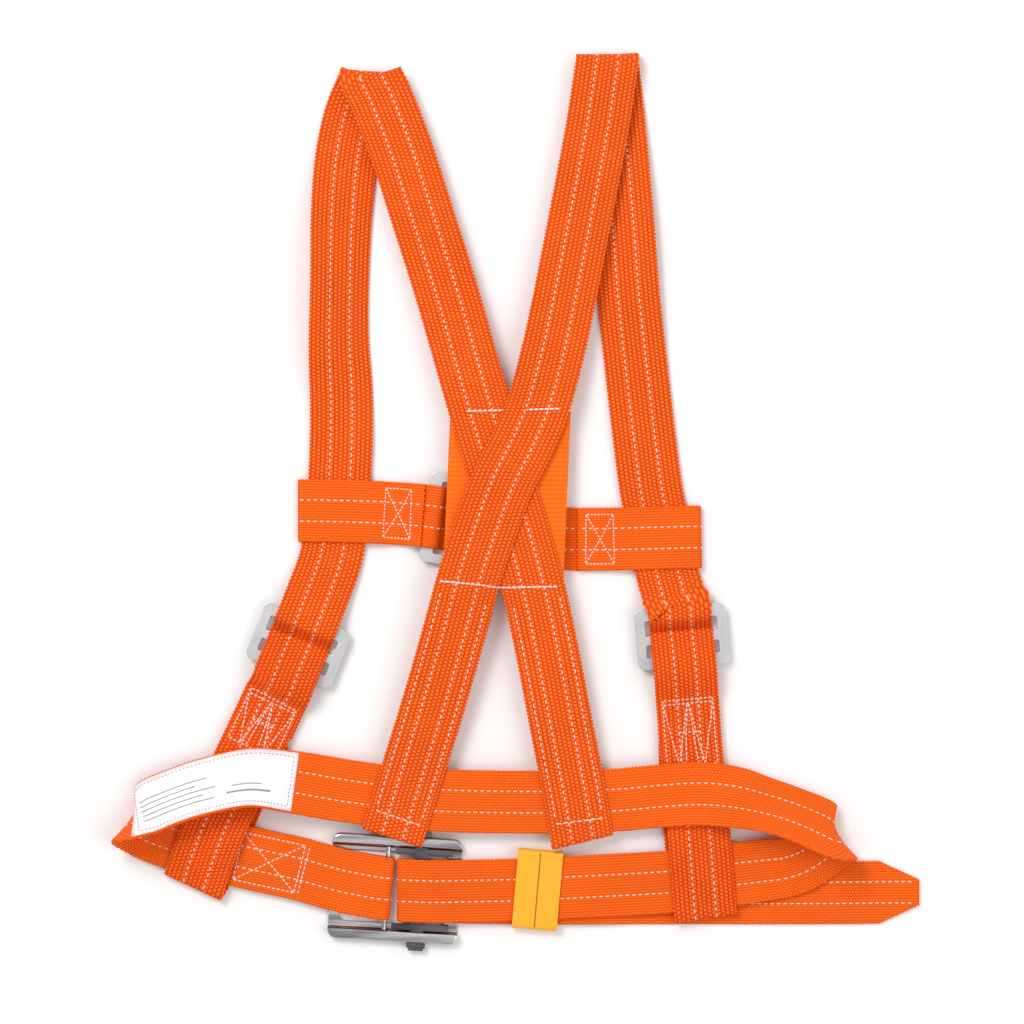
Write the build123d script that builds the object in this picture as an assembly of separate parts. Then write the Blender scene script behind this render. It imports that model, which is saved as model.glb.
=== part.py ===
"""Back-strap safety harness laid flat, face down: webbing, adjusters, belt buckle and keeper.

Millimetres. X runs across the wearer's back, Y towards the shoulders, Z up from the table.
Every webbing is a band of rectangular section that follows a list of stations. A station is
(x, y, z, side, lift): the middle of the band, the direction of its width seen from above in
degrees, and how far that direction rises out of the table plane in degrees.
"""
from build123d import *
import math
import os

os.makedirs("parts", exist_ok=True)

# Driving dimensions
WEB_WIDTH = 44.0
WEB_THICK = 2.0
LAYER_GAP = 0.3
LAYER = WEB_THICK + LAYER_GAP
FLOOR_LAYER = 0.15 + WEB_THICK / 2

ADJUSTER_LONG = 64.0
ADJUSTER_SHORT = 43.0
ADJUSTER_THICK = 2.6
ADJUSTER_RAIL = 6.6
ADJUSTER_TOP_BAR = 9.0
ADJUSTER_UPPER_SLOT = 10.5
ADJUSTER_CENTRE_BAR = 6.4
ADJUSTER_LOWER_SLOT = 9.0
ADJUSTER_CORNER = 5.5
SIDE_ADJUSTER_BASE = 4.8
CHEST_ADJUSTER_BASE = 3.6

LEFT_ADJUSTER = (-153.6, -100.4)
LEFT_ADJUSTER_HEADING = 68.5
RIGHT_ADJUSTER = (115.1, -94.5)
RIGHT_ADJUSTER_HEADING = 95.0
CHEST_ADJUSTER = (-43.5, -13.0)
CHEST_ADJUSTER_HEADING = 172.0

PAD_CENTRE = (-7.5, 2.5)
PAD_WIDTH = 84.0
PAD_LENGTH = 124.0
PAD_THICK = 3.0
PAD_BASE = 12.5
PAD_TURN = -2.5
PAD_CORNER = 4.0

BUCKLE_CENTRE = (-86.0, -271.2)
BUCKLE_TURN = -3.5
BUCKLE_LENGTH = 91.0
BUCKLE_INSIDE = 58.0
BUCKLE_PLATE = 1.8
BUCKLE_FLANGE_THICK = 2.0
BUCKLE_FLANGE_LIP = 6.5
BUCKLE_HEIGHT = 7.0
BUCKLE_LEFT_BAR = 6.0
BUCKLE_RIGHT_BAR = 8.0
FIXED_BAR_X = -6.0
FIXED_BAR_RADIUS = 1.7
FIXED_BAR_Z = 5.4
SLIDER_X = 17.0
SLIDER_BAR_LENGTH = 10.0
SLIDER_BAR_BASE = 3.8
SLIDER_BAR_HEIGHT = 3.2
SLIDER_RAIL_LENGTH = 40.0
SLIDER_RAIL_WIDTH = 4.4
SLIDER_TAB_LENGTH = 9.0
SLIDER_TAB_REACH = 41.0
SLIDER_HEAD_LENGTH = 13.0
SLIDER_HEAD_WIDTH = 3.5
SLIDER_TIP_LENGTH = 10.5
SLIDER_TIP_REACH = 42.8
SLIDER_TAB_BASE = 3.9
SLIDER_TAB_HEIGHT = 1.3
SLIDER_BACK = 4.0
SLIDER_AHEAD = 6.0

KEEPER_CENTRE = (14.0, -272.0)
KEEPER_TURN = -5.0
KEEPER_LENGTH = 31.5
KEEPER_WIDTH = 56.0
KEEPER_WALL = 1.4
KEEPER_BASE = 0.15
KEEPER_TOP = 8.6

BAND_STEPS = 4
ORIGIN = (-0.63, -0.32)


# Vector helpers
def side_vector(turn, lift):
    """Unit vector of a band's width."""
    a, b = math.radians(turn), math.radians(lift)
    return Vector(math.cos(a) * math.cos(b), math.sin(a) * math.cos(b), math.sin(b))


def blend(p0, p1, p2, p3, t):
    """Catmull-Rom value between p1 and p2."""
    return (
        2 * p1
        + (p2 - p0) * t
        + (2 * p0 - 5 * p1 + 4 * p2 - p3) * t**2
        + (3 * p1 - p0 - 3 * p2 + p3) * t**3
    ) / 2


def spread(points, steps):
    """The points with smooth ones added between them."""
    out = []
    last = len(points) - 1
    for i in range(last):
        p0, p1 = points[max(i - 1, 0)], points[i]
        p2, p3 = points[i + 1], points[min(i + 2, last)]
        out += [blend(p0, p1, p2, p3, k / steps) for k in range(steps)]
    return out + [points[-1]]


def band_frames(run, offset=0.0):
    """(centre, side, normal) all along a run, shifted by offset along its normal."""
    centres = spread([Vector(*s[:3]) for s in run], BAND_STEPS)
    sides = spread([side_vector(*s[3:]) for s in run], BAND_STEPS)
    frames = []
    for i, centre in enumerate(centres):
        ahead = centres[min(i + 1, len(centres) - 1)]
        behind = centres[max(i - 1, 0)]
        tangent = (ahead - behind).normalized()
        side = sides[i] - tangent * sides[i].dot(tangent)
        side = side.normalized()
        normal = side.cross(tangent)
        frames.append((centre + normal * offset, side, normal))
    return frames


def band(run, first=0, last=None, width=WEB_WIDTH, thick=WEB_THICK, offset=0.0):
    """A solid band along a run, from its station first to its station last."""
    frames = band_frames(run, offset)
    end = len(frames) if last is None else last * BAND_STEPS + 1
    sections = []
    for centre, side, normal in frames[first * BAND_STEPS : end]:
        across, up = side * (width / 2), normal * (thick / 2)
        corners = [
            centre - across - up,
            centre + across - up,
            centre + across + up,
            centre - across + up,
        ]
        sections.append(Wire.make_polygon(corners, close=True))
    solid = Solid.make_loft(sections, ruled=True)
    if solid.volume < 0:
        solid = Solid.make_loft(sections[::-1], ruled=True)
    return solid


def lace(place, heading, profile, side_turn=0.0):
    """Stations in an adjuster's own frame: profile holds (along, height)."""
    a = math.radians(heading)
    return [
        (
            place[0] + u * math.cos(a),
            place[1] + u * math.sin(a),
            z,
            heading - 90 + side_turn,
            0,
        )
        for u, z in profile
    ]


def half_turn(x, y, z_in, z_out, heading, side, lift=0.0, side_out=None):
    """Stations round the end of a fold that arrives at height z_in and leaves at z_out."""
    radius = abs(z_out - z_in) / 2
    middle = (z_in + z_out) / 2
    rise = 1 if z_out > z_in else -1
    a = math.radians(heading)
    leave = side if side_out is None else side_out
    out = []
    for k, angle in enumerate((-60, -20, 20, 60)):
        b = math.radians(angle)
        reach = radius * math.cos(b)
        share = (k + 0.5) / 4
        out.append(
            (
                x + reach * math.cos(a),
                y + reach * math.sin(a),
                middle + rise * radius * math.sin(b),
                side + (leave - side) * share,
                lift * math.cos(b),
            )
        )
    return out


def save(shape, name):
    """Writes one sub-part to its own file, about the middle of the whole harness."""
    export_step(Pos(-ORIGIN[0], -ORIGIN[1], 0) * shape, f"parts/{name}.step")


# Shoulder straps: height profile through a side adjuster, from the free tail upwards
STRAP_LACE = [
    (-22.5, 10.0),
    (-19.5, 10.1),
    (-16.5, 10.1),
    (-13.8, 9.7),
    (-12.2, 8.3),
    (-11.0, 6.1),
    (-9.8, 3.9),
    (-8.3, 2.1),
    (-6.0, FLOOR_LAYER),
    (-1.2, FLOOR_LAYER),
    (3.8, FLOOR_LAYER),
    (6.6, 2.3),
    (8.4, 4.1),
    (9.9, 6.1),
    (11.4, 8.3),
    (13.4, 9.8),
    (16.0, 10.2),
    (22.5, 10.2),
]
# A side strap round the centre bar, from its second layer over the bar to its near layer
LOOP_LACE = [
    (-33, 9.4),
    (-24, 12.2),
    (-14.8, 12.3),
    (-11.0, 10.8),
    (-8.0, 9.0),
    (-6.3, 7.4),
    (-5.9, 6.1),
    (-5.5, 4.6),
    (-4.1, 3.45),
    (-1.2, 3.35),
    (1.8, 3.45),
    (3.2, 4.6),
    (3.5, 6.1),
    (3.1, 7.6),
    (1.6, 8.7),
    (-1.2, 8.9),
    (-4.0, 9.6),
    (-7.0, 11.0),
    (-10.5, 13.1),
    (-14.8, 14.5),
    (-24, 14.5),
    (-33, 11.8),
]

SHOULDER_TOP = 11.5

left_front = lace(LEFT_ADJUSTER, LEFT_ADJUSTER_HEADING, STRAP_LACE) + [
    (-139.0, -62.5, 5.6, -20, 0),
    (-132.4, -44.5, 3.5, -14, 0),
    (-128.6, -28.0, 3.3, -7, 0),
    (-126.0, -6.0, 3.3, -4, 0),
    (-124.6, 20.0, 3.3, -2, 0),
    (-123.6, 45.0, 3.3, 0, 0),
    (-123.6, 75.0, 3.6, 1, -6),
    (-125.0, 111.0, 9.4, 1, -21),
    (-124.4, 154.0, 10.8, -2, -25),
    (-123.2, 200.0, 8.2, -4, -17),
    (-120.0, 240.0, 3.4, -8, -5),
    (-114.0, 270.0, 1.6, -12, 0),
    (-106.8, 288.0, 1.6, -12, 1),
]
left_back = half_turn(-103.0, 295.5, 1.6, SHOULDER_TOP, 84, -9, 8, 1) + [
    (-100.6, 292.5, SHOULDER_TOP, 8, 3),
    (-95.0, 281.0, 11.6, 14, 0),
    (-81.5, 246.0, 12.0, 17, 0),
    (-66.6, 200.0, 12.4, 17.5, 0),
    (-48.6, 143.0, 13.0, 18, 0),
    (-35.4, 97.0, 15.0, 18, 0),
    (-26.4, 66.0, 16.7, 17, 0),
    (-16.0, 32.0, 16.8, 16.5, 0),
    (-6.0, 0.0, 16.8, 15.5, 0),
    (4.0, -34.0, 16.8, 14.5, 0),
    (12.4, -66.0, 16.8, 12, 0),
    (20.8, -105.0, 15.8, 11, 0),
    (29.4, -150.0, 14.4, 11, 0),
    (35.8, -183.0, 13.1, 12, 0),
    (40.6, -208.0, 12.9, 13, 0),
    (44.2, -230.0, 12.9, 14, 0),
]
left_return = half_turn(45.0, -235.2, 12.9, 8.3, -79, 14) + [
    (44.2, -230.0, 8.3, 13, 0),
    (40.6, -208.0, 8.3, 13, 0),
    (35.4, -180.0, 8.5, 12, 0),
    (30.0, -153.0, 12.0, 11, 0),
    (20.8, -105.0, 13.6, 11, 0),
    (13.3, -69.5, 14.4, 12, 0),
]

right_front = lace(RIGHT_ADJUSTER, RIGHT_ADJUSTER_HEADING, STRAP_LACE, 0.5) + [
    (109.4, -67.0, 8.6, 7, 0),
    (107.8, -60.0, 5.9, 10, 0),
    (105.8, -53.0, 3.5, 11, 0),
    (100.2, -28.0, 3.35, 10, 0),
    (96.0, -4.0, 3.3, 8, 0),
    (92.6, 16.0, 3.3, 7, 0),
    (87.6, 56.0, 3.0, 6, 0),
    (82.9, 98.0, 2.4, 6, 3),
    (78.0, 143.0, 4.4, 5, 8),
    (74.4, 190.0, 5.2, 5, 10),
    (70.8, 232.0, 4.0, 5, 7),
    (66.6, 276.0, 2.0, 6, 2),
    (63.8, 302.0, 1.6, 6, 0),
]
right_back = half_turn(63.2, 307.5, 1.6, SHOULDER_TOP, 93, 4, -6, 0) + [
    (62.6, 306.5, SHOULDER_TOP, -3, -2),
    (60.4, 292.0, 11.6, -7, 0),
    (55.8, 262.0, 12.0, -10, 0),
    (47.6, 218.0, 12.4, -11.5, 0),
    (32.6, 141.0, 14.0, -12, 0),
    (23.6, 100.0, 16.2, -14, 0),
    (14.0, 66.0, 18.8, -19, 0),
    (3.0, 40.0, 19.1, -23, 0),
    (-10.5, 12.5, 19.1, -23.5, 0),
    (-24.0, -24.0, 19.1, -20, 0),
    (-34.2, -55.0, 19.1, -17, 0),
    (-45.2, -95.0, 17.6, -15.5, 0),
    (-58.2, -140.0, 15.2, -15.5, 0),
    (-70.6, -180.0, 13.2, -16, 0),
    (-79.4, -208.0, 12.9, -17, 0),
    (-85.6, -228.0, 12.9, -18, 0),
]
right_return = half_turn(-87.0, -232.4, 12.9, 8.3, -107, -18) + [
    (-85.6, -228.0, 8.3, -17, 0),
    (-79.4, -208.0, 8.3, -17, 0),
    (-69.6, -177.0, 8.3, -16, 0),
    (-59.6, -145.0, 12.2, -15.5, 0),
    (-45.2, -95.0, 15.3, -15.5, 0),
    (-38.6, -72.0, 16.1, -16.5, 0),
]

# Side straps: down from the adjuster, round the waist belt and back to the stitched joint
right_side = [
    (120.9, -163.0, 3.4, 2, 0),
    (120.0, -150.0, 3.4, 3, 0),
    (119.0, -139.5, 4.4, 5, 0),
] + lace(RIGHT_ADJUSTER, RIGHT_ADJUSTER_HEADING, LOOP_LACE) + [
    (119.0, -139.5, 6.8, 5, 0),
    (120.0, -150.0, 5.7, 3, 0),
    (121.0, -166.0, 5.7, 2, 0),
    (123.0, -186.0, 6.2, 3, 0),
    (125.4, -209.0, 7.0, 4, 0),
    (127.6, -238.0, 8.0, 5, 0),
    (129.8, -265.0, 8.0, 6, 0),
    (131.2, -284.0, 8.0, 7, 0),
] + half_turn(131.8, -289.0, 8.0, 3.4, -82, 8, 0, 10) + [
    (130.8, -282.0, 3.4, 10, 0),
    (127.8, -262.0, 3.4, 8, 0),
    (124.6, -232.0, 3.4, 6, 0),
    (122.4, -206.0, 3.4, 4, 0),
    (121.3, -185.0, 3.4, 2, 0),
    (120.9, -168.0, 3.4, 2, 0),
]

left_side = [
    (-178.6, -158.0, 3.4, -25, 0),
    (-173.8, -147.5, 3.4, -24, 0),
    (-169.0, -137.5, 4.4, -22.5, 0),
] + lace(LEFT_ADJUSTER, LEFT_ADJUSTER_HEADING, LOOP_LACE) + [
    (-170.0, -137.5, 6.8, -22.5, 0),
    (-174.8, -147.5, 5.7, -24, 0),
    (-183.0, -165.0, 5.7, -25, 0),
    (-193.0, -186.0, 7.2, -25, 0),
    (-202.2, -206.0, 10.4, -24, 0),
    (-211.6, -227.0, 12.6, -23, 0),
    (-219.0, -246.0, 10.8, -22, 0),
    (-224.6, -262.0, 8.2, -24, 0),
] + half_turn(-226.2, -266.8, 8.0, 1.6, -113, -25, 0) + [
    (-221.8, -260.0, 1.3, -24, 0),
    (-212.0, -238.0, 1.3, -23, 0),
    (-201.0, -211.0, 1.6, -24, 0),
    (-189.0, -184.0, 3.0, -25, 0),
    (-181.0, -164.0, 3.4, -25, 0),
]

# Chest strap: a loop round each front strap, joined by the chest adjuster
CHEST_LEFT_END = -154.3
CHEST_RIGHT_END = 129.4
chest_left = [
    (-65.8, -9.8, 11.1, 93, 0),
    (-71.5, -9.3, 9.0, 93, 0),
    (-78.5, -8.8, 4.8, 93, 0),
    (-84.0, -8.4, 3.35, 93, 0),
    (-91.0, -8.0, 3.5, 92, 0),
    (-99.0, -7.5, 5.6, 92, 0),
    (-122.0, -6.8, 5.6, 91, 0),
    (-146.0, -6.4, 5.6, 90, 0),
] + half_turn(CHEST_LEFT_END + 3.4, -6.4, 5.6, FLOOR_LAYER, 180, 90) + [
    (-146.0, -6.4, FLOOR_LAYER, 90, 0),
    (-122.0, -6.8, FLOOR_LAYER, 91, 0),
    (-95.0, -7.8, FLOOR_LAYER, 92, 0),
    (-83.0, -8.5, 1.2, 93, 0),
    (-77.0, -8.9, 2.7, 93, 0),
    (-71.0, -9.4, 6.6, 94, 0),
    (-66.5, -9.9, 8.6, 94, 0),
] + lace(
    CHEST_ADJUSTER,
    CHEST_ADJUSTER_HEADING,
    [
        (19.0, 9.1),
        (14.5, 9.0),
        (11.8, 8.1),
        (10.0, 6.0),
        (8.4, 3.6),
        (6.6, 1.8),
        (4.0, FLOOR_LAYER),
        (-1.2, FLOOR_LAYER),
        (-5.2, 1.4),
        (-7.2, 3.2),
        (-8.2, 5.4),
        (-9.2, 7.9),
        (-11.4, 10.3),
        (-15.0, 11.1),
        (-30.0, 10.6),
    ],
)
chest_right = [
    (42.0, -26.4, 3.35, 88, 0),
    (46.0, -26.4, 3.35, 89, 0),
    (59.0, -26.5, 3.35, 90, 0),
    (64.0, -26.4, 3.7, 91, 0),
    (72.0, -26.2, 5.6, 91, 0),
    (96.0, -25.6, 5.6, 91, 0),
    (120.0, -25.0, 5.6, 91, 0),
] + half_turn(CHEST_RIGHT_END - 3.4, -24.9, 5.6, FLOOR_LAYER, 0, 91) + [
    (120.0, -25.0, FLOOR_LAYER, 91, 0),
    (96.0, -25.6, FLOOR_LAYER, 91, 0),
    (62.0, -26.4, FLOOR_LAYER, 90, 0),
    (38.0, -26.4, FLOOR_LAYER, 88, 0),
    (14.0, -23.6, FLOOR_LAYER, 84, 0),
] + lace(
    CHEST_ADJUSTER,
    CHEST_ADJUSTER_HEADING,
    [
        (-36.0, FLOOR_LAYER),
        (-27.0, FLOOR_LAYER),
        (-21.0, FLOOR_LAYER),
        (-14.6, FLOOR_LAYER),
        (-12.6, 2.2),
        (-11.7, 4.9),
        (-12.6, 7.4),
        (-15.0, 8.6),
        (-21.0, 8.7),
        (-27.0, 7.4),
        (-34.0, 3.8),
        (-42.0, 3.35),
    ],
)

# Waist belt, from the stitched end behind the buckle round the back to the free tail
belt_left = [
    (-197.0, -247.2, 3.6, 77, 0),
    (-180.2, -251.6, 3.4, 77.5, 0),
    (-152.9, -257.6, 3.4, 77.5, 0),
    (-126.0, -265.0, 3.4, 79, 0),
    (-112.0, -267.8, 2.6, 81, 0),
    (-97.0, -270.4, 2.0, 84, 0),
] + half_turn(-92.2, -270.9, 2.0, 9.0, -5, 85) + [
    (-97.0, -270.4, 9.0, 84, 0),
    (-112.0, -267.8, 8.0, 81, 0),
    (-126.0, -265.0, 6.6, 79, 0),
    (-152.9, -257.6, 5.7, 77.5, 0),
    (-180.2, -251.6, 5.8, 77, 1),
    (-204.0, -246.2, 6.2, 76, 4),
    (-222.0, -242.0, 6.8, 72, 7),
    (-239.0, -237.2, 7.2, 68, 8),
    (-254.5, -231.6, 8.2, 61, 8),
    (-264.6, -225.8, 9.8, 59, 5),
]
belt_back = [
    (-268.4, -222.0, 13.6, 59, -3),
    (-266.2, -218.6, 18.0, 62, -11),
    (-257.0, -212.6, 21.0, 69, -20),
    (-239.8, -205.4, 21.6, 79, -29),
    (-219.4, -198.8, 20.4, 88, -30),
    (-186.5, -192.3, 18.4, 88, -25),
    (-155.0, -196.0, 14.6, 84, -14),
    (-130.0, -200.6, 11.3, 81, -4),
    (-112.0, -203.4, 10.6, 82, 0),
    (-93.4, -205.8, 10.6, 84, 0),
    (-54.2, -208.9, 10.6, 88, 0),
    (-12.2, -210.0, 10.6, 90, 0),
    (29.7, -210.0, 10.6, 91, 0),
    (69.6, -208.6, 10.6, 93, 0),
    (100.4, -205.8, 11.0, 94, -2),
    (127.7, -204.2, 12.4, 90, -6),
    (150.0, -206.0, 15.6, 83, -18),
    (170.1, -210.4, 18.8, 79, -34),
    (188.0, -215.6, 20.4, 78, -38),
    (203.0, -221.4, 20.8, 84, -36),
    (213.0, -226.0, 20.6, 96, -30),
    (220.0, -230.2, 18.8, 110, -18),
    (222.8, -232.4, 14.8, 120, -6),
]
belt_right = [
    (222.2, -234.2, 11.2, 121, 4),
    (217.4, -238.8, 9.8, 117, 10),
    (208.6, -246.0, 9.6, 111, 14),
    (199.0, -252.0, 9.2, 105, 13),
    (186.9, -256.4, 7.8, 101, 11),
    (172.0, -258.6, 6.3, 98, 4),
    (158.0, -260.4, 5.7, 95, 0),
    (142.0, -262.4, 5.7, 94, 0),
    (127.7, -264.2, 5.7, 93, 0),
    (103.2, -266.8, 5.7, 92.5, 0),
    (71.8, -268.6, 5.6, 92, 0),
    (33.2, -270.6, 5.6, 92, 0),
    (0.3, -272.2, 5.6, 91.5, 0),
    (-36.8, -273.0, 6.0, 90.5, 0),
    (-52.0, -273.1, 7.6, 90, 0),
    (-62.0, -272.9, 9.2, 90, 0),
    (-74.0, -272.4, 9.4, 90, 0),
]
belt_tail = half_turn(-79.9, -272.2, 9.4, 1.8, 180, 90) + [
    (-74.0, -272.4, 1.6, 90, 0),
    (-62.0, -272.8, FLOOR_LAYER, 90, 0),
    (-55.0, -273.2, 1.3, 90, 0),
    (-46.0, -273.8, 3.1, 90, 0),
    (-36.8, -274.2, 3.2, 90, 0),
    (0.3, -274.6, 3.0, 90, 0),
    (33.2, -274.8, 2.9, 90, 0),
    (60.0, -274.8, 2.6, 90, 0),
    (82.0, -274.8, FLOOR_LAYER, 90, 0),
    (103.2, -274.8, FLOOR_LAYER, 90, 0),
    (155.8, -274.8, FLOOR_LAYER, 90, 0),
    (197.8, -274.8, FLOOR_LAYER, 90, 0),
    (236.0, -274.6, FLOOR_LAYER, 90, 0),
    (254.0, -274.4, FLOOR_LAYER, 90, 0),
]
TAIL_TIP_LENGTH = 28.0
TAIL_TIP_WIDTH = 18.0

LABEL_WIDTH = 41.0
LABEL_THICK = 0.35
LABEL_STATIONS = 6


def belt_tail_solid(first):
    """The free tail with its trimmed, pointed end."""
    straight = band(belt_run, first)
    x, y = belt_run[-1][:2]
    tip = Polygon(
        (x, y - WEB_WIDTH / 2),
        (x + TAIL_TIP_LENGTH, y - TAIL_TIP_WIDTH / 2),
        (x + TAIL_TIP_LENGTH, y + TAIL_TIP_WIDTH / 2),
        (x, y + WEB_WIDTH / 2),
        align=None,
    )
    tip = Pos(0, 0, FLOOR_LAYER - WEB_THICK / 2) * extrude(tip, WEB_THICK)
    return straight + tip


def adjuster_plate(base):
    """Three-bar slide in its own frame: +X along the strap, Y across, centred on the plate."""
    top_inner = ADJUSTER_SHORT / 2 - ADJUSTER_TOP_BAR
    bar_top = top_inner - ADJUSTER_UPPER_SLOT
    bar_bottom = bar_top - ADJUSTER_CENTRE_BAR
    low_inner = bar_bottom - ADJUSTER_LOWER_SLOT
    inside = ADJUSTER_LONG - 2 * ADJUSTER_RAIL
    outline = RectangleRounded(ADJUSTER_SHORT, ADJUSTER_LONG, ADJUSTER_CORNER)
    slots = []
    for low, high in ((bar_top, top_inner), (low_inner, bar_bottom)):
        slot = RectangleRounded(high - low, inside, 1.5)
        slots.append(Pos((low + high) / 2, 0) * slot)
    plate = extrude(outline - slots, ADJUSTER_THICK)
    rim = plate.edges().filter_by(Plane.XY, reverse=False)
    plate = fillet(rim, 0.4)
    return Pos(0, 0, base) * plate


def place_adjuster(place, heading, base):
    return Pos(place[0], place[1], 0) * Rot(0, 0, heading) * adjuster_plate(base)


def back_pad():
    pad = extrude(RectangleRounded(PAD_WIDTH, PAD_LENGTH, PAD_CORNER), PAD_THICK)
    pad = Pos(PAD_CENTRE[0], PAD_CENTRE[1], PAD_BASE) * Rot(0, 0, PAD_TURN) * pad
    return pad


BUCKLE = Pos(BUCKLE_CENTRE[0], BUCKLE_CENTRE[1], 0) * Rot(0, 0, BUCKLE_TURN)


def buckle_frame():
    """Pressed frame: a window in the base, and a lipped flange along each long edge."""
    half_in = BUCKLE_INSIDE / 2
    width = BUCKLE_INSIDE + 2 * BUCKLE_FLANGE_THICK
    base = extrude(RectangleRounded(BUCKLE_LENGTH, width, 2.5), BUCKLE_PLATE)
    left = -BUCKLE_LENGTH / 2 + BUCKLE_LEFT_BAR
    right = BUCKLE_LENGTH / 2 - BUCKLE_RIGHT_BAR
    rail = 4.0
    window = RectangleRounded(right - left, BUCKLE_INSIDE - 2 * rail, 7.0)
    window = Pos((left + right) / 2, 0, 0) * extrude(window, BUCKLE_PLATE)
    frame = base - window
    slot_length = SLIDER_TAB_LENGTH + SLIDER_BACK + SLIDER_AHEAD + 1.0
    slot_x = SLIDER_X + (SLIDER_AHEAD - SLIDER_BACK) / 2
    for sign in (-1, 1):
        wall = Box(
            BUCKLE_LENGTH, BUCKLE_FLANGE_THICK, BUCKLE_HEIGHT,
            align=(Align.CENTER, Align.CENTER, Align.MIN),
        )
        wall = Pos(0, sign * (half_in + BUCKLE_FLANGE_THICK / 2), 0) * wall
        lip = Box(
            BUCKLE_LENGTH - 2, BUCKLE_FLANGE_LIP, 1.6,
            align=(Align.CENTER, Align.CENTER, Align.MAX),
        )
        lip_y = half_in + BUCKLE_FLANGE_THICK + BUCKLE_FLANGE_LIP / 2 - 0.5
        lip = Pos(0, sign * lip_y, BUCKLE_HEIGHT) * lip
        slot = Box(slot_length, 2 * BUCKLE_FLANGE_THICK, SLIDER_TAB_HEIGHT + 0.4)
        slot_z = SLIDER_TAB_BASE + SLIDER_TAB_HEIGHT / 2
        slot = Pos(slot_x, sign * (half_in + BUCKLE_FLANGE_THICK / 2), slot_z) * slot
        frame = frame + wall + lip - slot
    return BUCKLE * frame


def buckle_fixed_bar():
    """Round bar between the flanges that holds the stitched belt end."""
    bar = Cylinder(FIXED_BAR_RADIUS, BUCKLE_INSIDE, rotation=(90, 0, 0))
    return BUCKLE * Pos(FIXED_BAR_X, 0, FIXED_BAR_Z) * bar


def buckle_slider():
    """Sliding bar: a knurled bar between two rails, with a tab through each flange."""
    half_in = BUCKLE_INSIDE / 2
    low = (Align.CENTER, Align.CENTER, Align.MIN)
    bar = Box(SLIDER_BAR_LENGTH, BUCKLE_INSIDE - 1.0, SLIDER_BAR_HEIGHT, align=low)
    slider = Pos(SLIDER_X, 0, SLIDER_BAR_BASE) * bar
    for sign in (-1, 1):
        rail = Box(SLIDER_RAIL_LENGTH, SLIDER_RAIL_WIDTH, SLIDER_TAB_HEIGHT, align=low)
        rail_y = half_in - 0.5 - SLIDER_RAIL_WIDTH / 2
        slider += Pos(SLIDER_X + 2, sign * rail_y, SLIDER_TAB_BASE) * rail
        for length, start, stop in (
            (SLIDER_TAB_LENGTH, half_in - 1, SLIDER_TAB_REACH),
            (SLIDER_HEAD_LENGTH, SLIDER_TAB_REACH - SLIDER_HEAD_WIDTH, SLIDER_TAB_REACH),
            (SLIDER_TIP_LENGTH, SLIDER_TAB_REACH - 1, SLIDER_TIP_REACH),
        ):
            tab = Box(length, stop - start, SLIDER_TAB_HEIGHT, align=low)
            slider += Pos(SLIDER_X, sign * (start + stop) / 2, SLIDER_TAB_BASE) * tab
    return BUCKLE * slider


def belt_keeper():
    """Flattened sleeve round the belt and its tail."""
    height = KEEPER_TOP - KEEPER_BASE
    outer = RectangleRounded(KEEPER_WIDTH, height, 3.0)
    inner = RectangleRounded(
        KEEPER_WIDTH - 2 * KEEPER_WALL, height - 2 * KEEPER_WALL, 3.0 - KEEPER_WALL
    )
    end = Plane((-KEEPER_LENGTH / 2, 0, KEEPER_BASE + height / 2), x_dir=(0, 1, 0), z_dir=(1, 0, 0))
    sleeve = extrude(end * (outer - inner), KEEPER_LENGTH)
    return Pos(KEEPER_CENTRE[0], KEEPER_CENTRE[1], 0) * Rot(0, 0, KEEPER_TURN) * sleeve


left_run = left_front + left_back + left_return
right_run = right_front + right_back + right_return
belt_run = belt_left + belt_back + belt_right + belt_tail
left_top = len(left_front) + 1
left_hem = len(left_front) + len(left_back) + 1
right_top = len(right_front) + 1
right_hem = len(right_front) + len(right_back) + 1
belt_left_end = len(belt_left)
belt_right_end = belt_left_end + len(belt_back) - 1
belt_buckle_end = belt_right_end + len(belt_right) + 2

bands = {
    "left_shoulder_front_strap": (left_run, 0, left_top),
    "left_shoulder_back_strap": (left_run, left_top, left_hem),
    "left_back_strap_return": (left_run, left_hem),
    "right_shoulder_front_strap": (right_run, 0, right_top),
    "right_shoulder_back_strap": (right_run, right_top, right_hem),
    "right_back_strap_return": (right_run, right_hem),
    "left_side_strap": (left_side,),
    "right_side_strap": (right_side,),
    "chest_strap_left": (chest_left,),
    "chest_strap_right": (chest_right,),
    "waist_belt_left_front": (belt_run, 0, belt_left_end),
    "waist_belt_back": (belt_run, belt_left_end, belt_right_end),
    "waist_belt_right_front": (belt_run, belt_right_end, belt_buckle_end),
}
label = band(
    belt_run,
    belt_left_end + 1,
    belt_left_end + LABEL_STATIONS,
    LABEL_WIDTH,
    LABEL_THICK,
    -(WEB_THICK + LABEL_THICK) / 2 - 0.05,
)

for name, cut in bands.items():
    save(band(*cut), name)
save(belt_tail_solid(belt_buckle_end), "waist_belt_tail")
save(label, "size_label")
save(back_pad(), "back_pad")
save(place_adjuster(LEFT_ADJUSTER, LEFT_ADJUSTER_HEADING, SIDE_ADJUSTER_BASE), "left_adjuster")
save(place_adjuster(RIGHT_ADJUSTER, RIGHT_ADJUSTER_HEADING, SIDE_ADJUSTER_BASE), "right_adjuster")
save(place_adjuster(CHEST_ADJUSTER, CHEST_ADJUSTER_HEADING, CHEST_ADJUSTER_BASE), "chest_adjuster")
save(buckle_frame(), "buckle_frame")
save(buckle_fixed_bar(), "buckle_fixed_bar")
save(buckle_slider(), "buckle_slider")
save(belt_keeper(), "belt_keeper")
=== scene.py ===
"""Visual model of the back-strap safety harness, in metres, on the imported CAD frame."""
import math

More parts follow.
